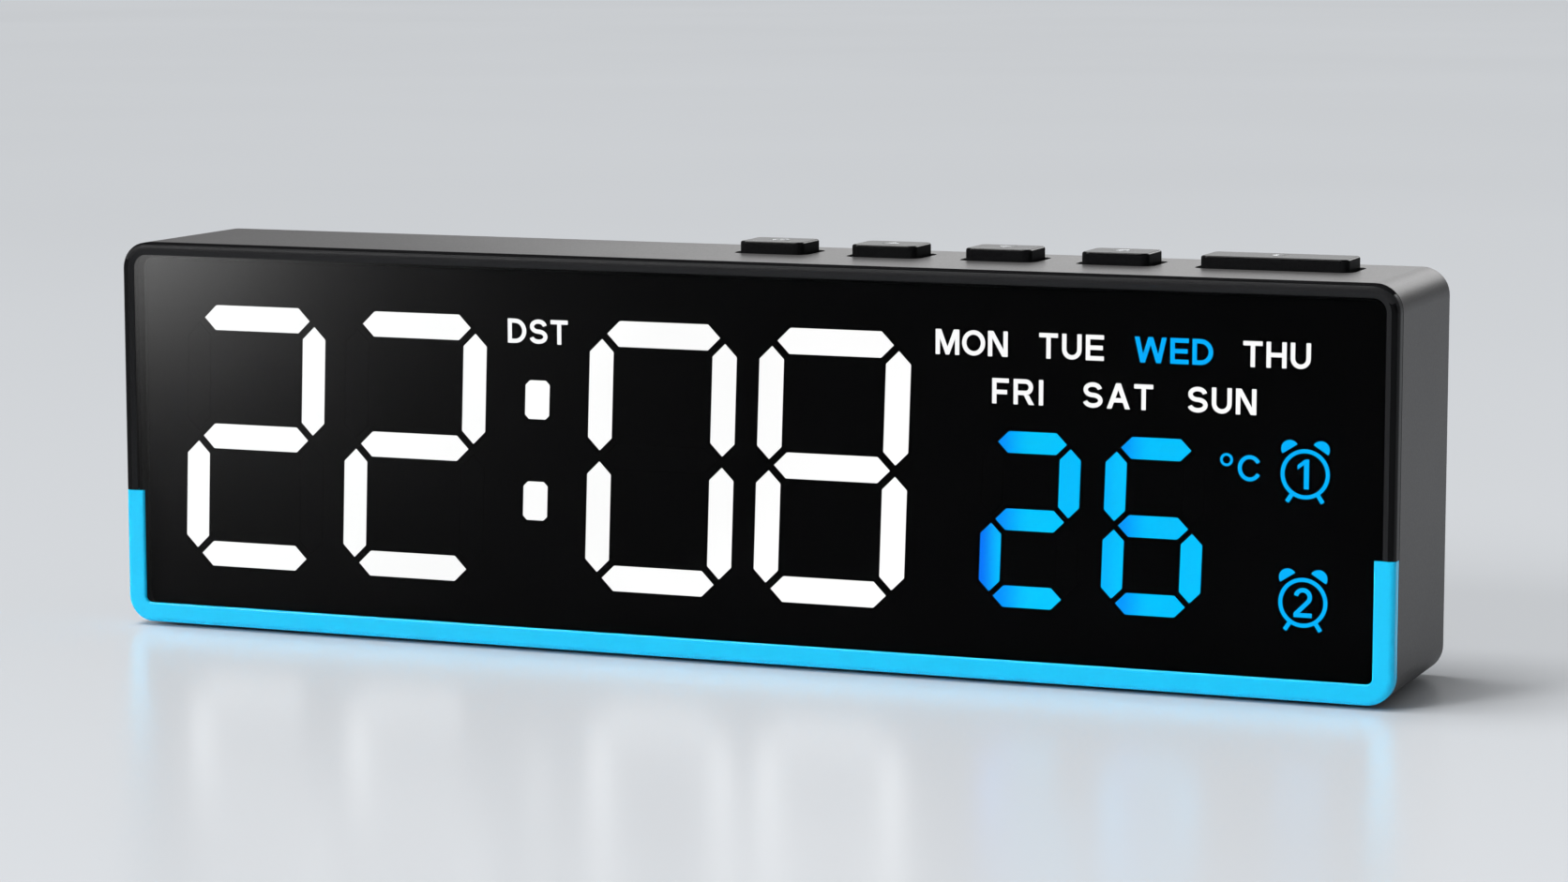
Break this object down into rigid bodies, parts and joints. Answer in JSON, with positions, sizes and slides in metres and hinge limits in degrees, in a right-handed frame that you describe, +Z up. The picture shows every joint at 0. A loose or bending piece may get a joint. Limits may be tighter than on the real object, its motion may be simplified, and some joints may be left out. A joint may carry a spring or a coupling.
{
  "type": "digital alarm clock",
  "caption": "Slim bar-shaped desk alarm clock with a dark display window, lit time and temperature segments, a coloured lower trim, press keys on top and a tilting battery door.",
  "frame": {"origin": "on the ground under the middle of the case", "axes": "+X along the width to the viewer's right, +Y from the display to the back, +Z up"},
  "size_m": [0.17, 0.026, 0.052],
  "materials": {
    "case_plastic": "fine satin texture, charcoal",
    "cover_plastic": "fine matt texture, near black",
    "frame_black": "semi-gloss black",
    "trim_blue": "satin sky blue",
    "window": "polished smoked acrylic",
    "mask_black": "matt black film",
    "digit_white": "milky diffuser, lit white",
    "digit_blue": "milky diffuser, lit blue",
    "reflector_white": "plain white",
    "board_green": "solder mask",
    "diode": "clear resin over phosphor",
    "chip_black": "moulded epoxy",
    "bright_metal": "bright plated",
    "screw_steel": "zinc plated",
    "contact_metal": "nickel plated",
    "key_black": "polished black",
    "switch_ivory": "moulded",
    "switch_black": "moulded",
    "ribbon_cable": "flat cable",
    "lead_red": "insulated wire",
    "lead_black": "insulated wire",
    "speaker_black": "pressed frame and paper cone",
    "sensor_epoxy": "epoxy bead",
    "foot_rubber": "matt rubber"
  },
  "bodies": {
    "case": {"housing": "case_plastic", "rear_cover": "cover_plastic", "front_bezel": "frame_black", "accent_trim": "trim_blue", "front_lens": "window", "display_mask": "mask_black", "hour_tens_digit": "digit_white", "hour_units_digit": "digit_white", "colon_dots": "digit_white", "minute_tens_digit": "digit_white", "minute_units_digit": "digit_white", "temperature_tens_digit": "digit_blue", "temperature_units_digit": "digit_blue", "display_reflector": "reflector_white", "display_board": "board_green", "button_board": "board_green", "power_board": "board_green", "segment_leds": "diode", "controller_chip": "chip_black", "clock_crystal": "bright_metal", "usb_socket": "bright_metal", "display_screws": "screw_steel", "board_screws": "screw_steel", "cover_screws": "screw_steel", "battery_plates": "contact_metal", "battery_springs": "contact_metal", "switch_bodies": "switch_black", "button_ribbon": "ribbon_cable", "power_ribbon": "ribbon_cable", "battery_leads": "lead_red", "speaker_leads": "lead_black", "speaker": "speaker_black", "temperature_sensor": "sensor_epoxy", "rubber_feet": "foot_rubber"},
    "set_key": {"set_key": "key_black", "set_plunger": "switch_ivory"},
    "up_key": {"up_key": "key_black", "up_plunger": "switch_ivory"},
    "down_key": {"down_key": "key_black", "down_plunger": "switch_ivory"},
    "alarm_key": {"alarm_key": "key_black", "alarm_plunger": "switch_ivory"},
    "snooze_bar": {"snooze_bar": "key_black", "snooze_plunger": "switch_ivory"},
    "battery_door": {"battery_door": "cover_plastic"}
  },
  "joints": [
    {"name": "set_key_press", "type": "slide", "parent": "case", "child": "set_key", "axis": [0, 0, -1], "range_m": [0, 0.0007], "stiffness_N_per_m": 2500},
    {"name": "up_key_press", "type": "slide", "parent": "case", "child": "up_key", "axis": [0, 0, -1], "range_m": [0, 0.0007], "stiffness_N_per_m": 2500},
    {"name": "down_key_press", "type": "slide", "parent": "case", "child": "down_key", "axis": [0, 0, -1], "range_m": [0, 0.0007], "stiffness_N_per_m": 2500},
    {"name": "alarm_key_press", "type": "slide", "parent": "case", "child": "alarm_key", "axis": [0, 0, -1], "range_m": [0, 0.0007], "stiffness_N_per_m": 2500},
    {"name": "snooze_bar_press", "type": "slide", "parent": "case", "child": "snooze_bar", "axis": [0, 0, -1], "range_m": [0, 0.0007], "stiffness_N_per_m": 2500},
    {"name": "battery_door_tilt", "type": "hinge", "parent": "case", "child": "battery_door", "pos_m": [-0.0371, 0.0126, 0.04045], "axis": [1, 0, 0], "range_deg": [0, 75]}
  ]
}
